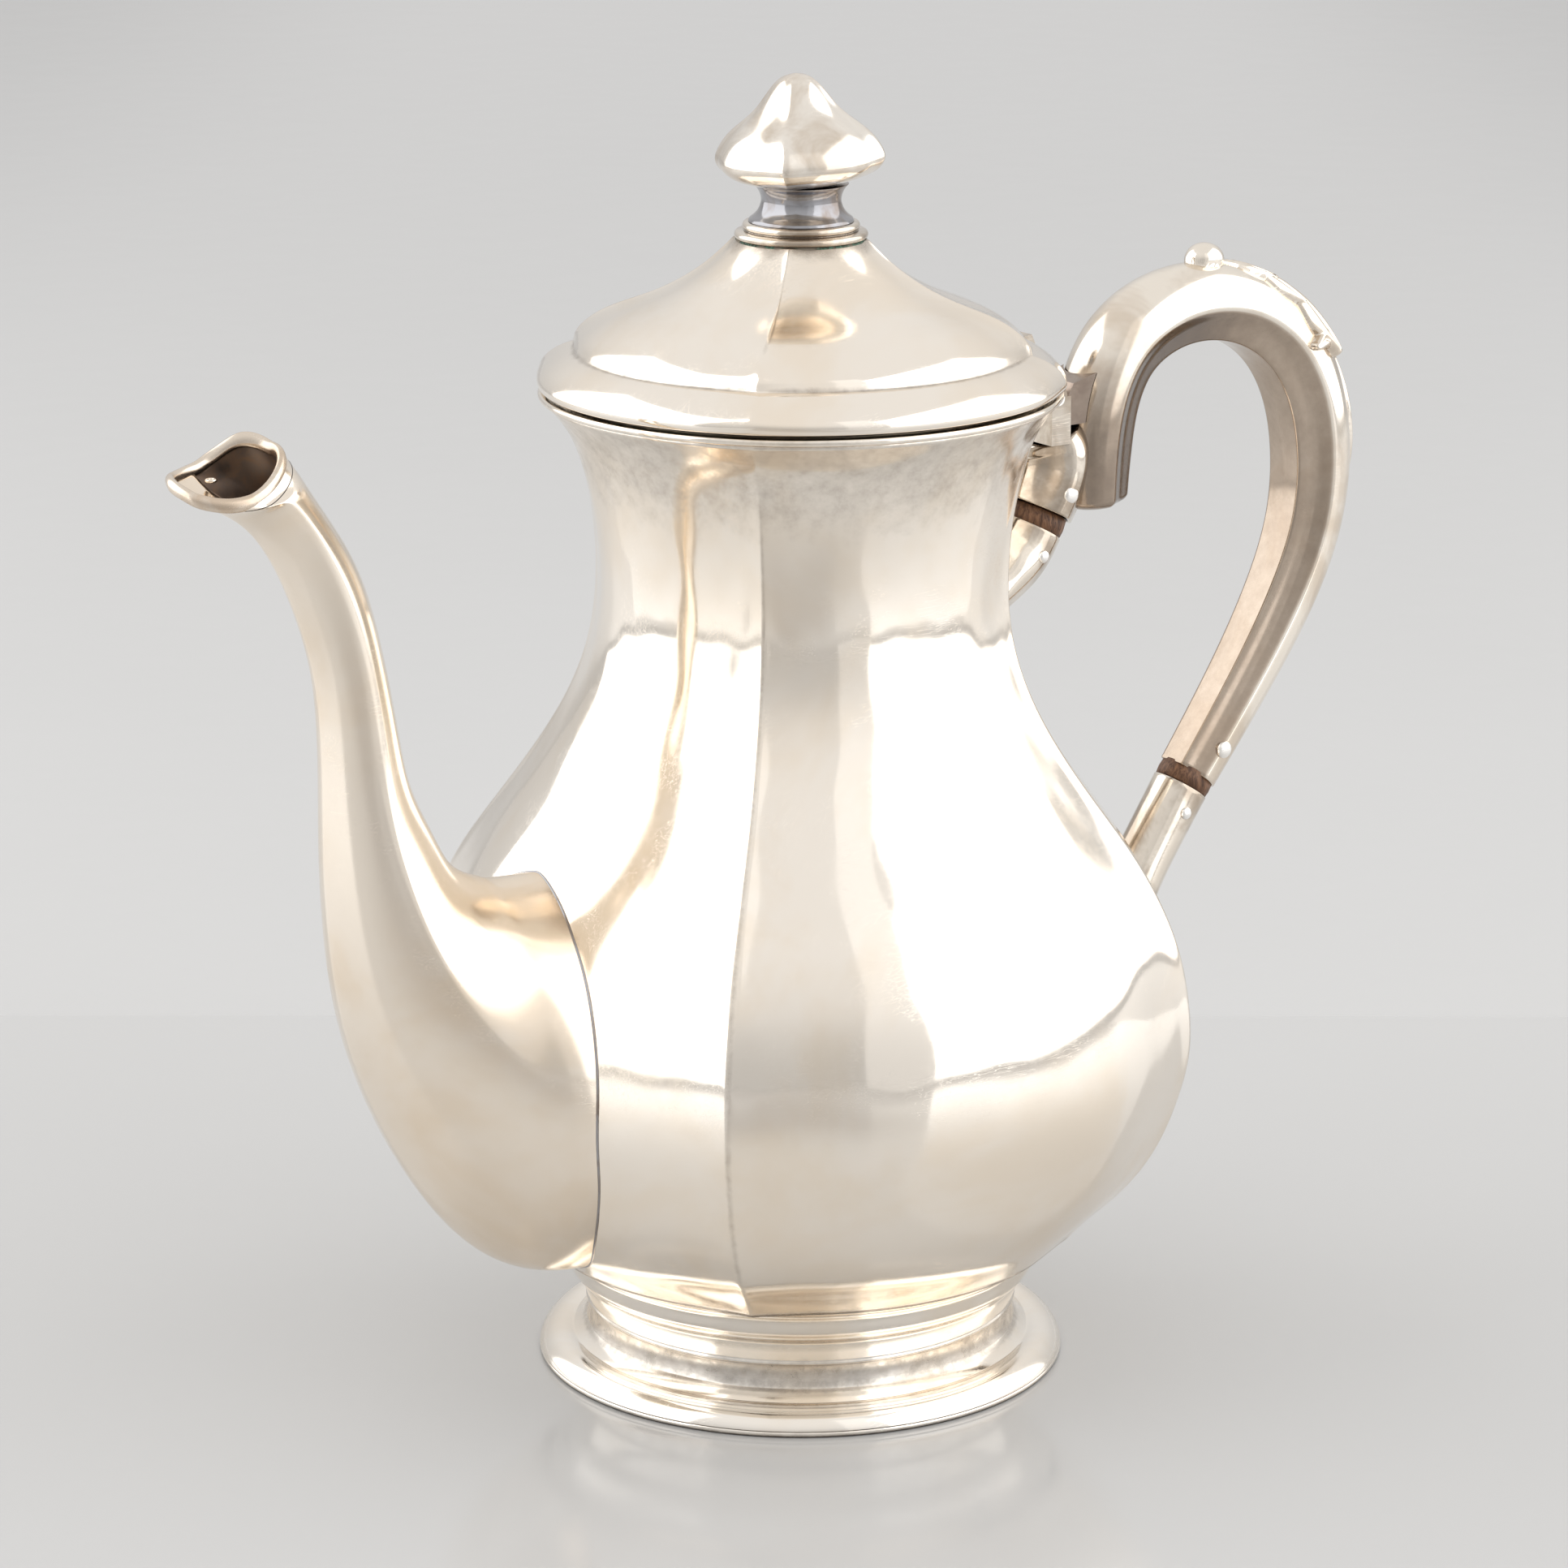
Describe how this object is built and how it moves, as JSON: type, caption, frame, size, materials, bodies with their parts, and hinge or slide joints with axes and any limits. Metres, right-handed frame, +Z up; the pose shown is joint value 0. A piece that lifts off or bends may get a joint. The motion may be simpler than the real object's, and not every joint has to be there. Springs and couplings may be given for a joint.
{
  "type": "coffee pot",
  "caption": "Footed silver coffee pot with ridged baluster body, swan-neck spout, hinged domed lid with bud finial and insulated scroll handle.",
  "frame": {"origin": "on the pot's axis, in the plane that the foot rests on", "axes": "+Z up; -X towards the spout; +X towards the handle; +Y completes a right-handed set"},
  "size_m": [0.2491, 0.1344, 0.2304],
  "materials": {
    "silver": "polished silver, lightly worn, with fine scratches and faint warm tarnish",
    "tarnished_silver": "silver with grey-brown tarnish in the recesses",
    "rivet_silver": "bright silver",
    "insulator": "dark brown worn wood or fibre"
  },
  "bodies": {
    "pot": {"body": "silver", "base_plate": "silver", "mouth_rim": "silver", "foot": "silver", "foot_rim": "silver", "spout_half_front": "silver", "spout_half_back": "silver", "spout_lip": "silver", "handle": "silver", "handle_leaf": "silver", "upper_ferrule": "silver", "upper_insulator": "insulator", "upper_socket": "silver", "lower_insulator": "insulator", "lower_socket": "silver", "large_rivets": "rivet_silver", "small_rivets": "rivet_silver", "hinge_post": "silver", "hinge_lug": "silver", "hinge_pin": "rivet_silver"},
    "lid": {"lid": "silver", "lid_bezel": "silver", "finial_collar": "tarnished_silver", "finial_stem": "tarnished_silver", "finial_knob": "silver", "finial_screw": "silver", "finial_washer": "silver", "finial_nut": "silver", "hinge_lid_leaf": "silver"}
  },
  "joints": [
    {"name": "lid_hinge", "type": "hinge", "parent": "pot", "child": "lid", "pos_m": [0.0506, 0, 0.1692], "axis": [0, 1, 0], "range_deg": [0, 66]}
  ]
}
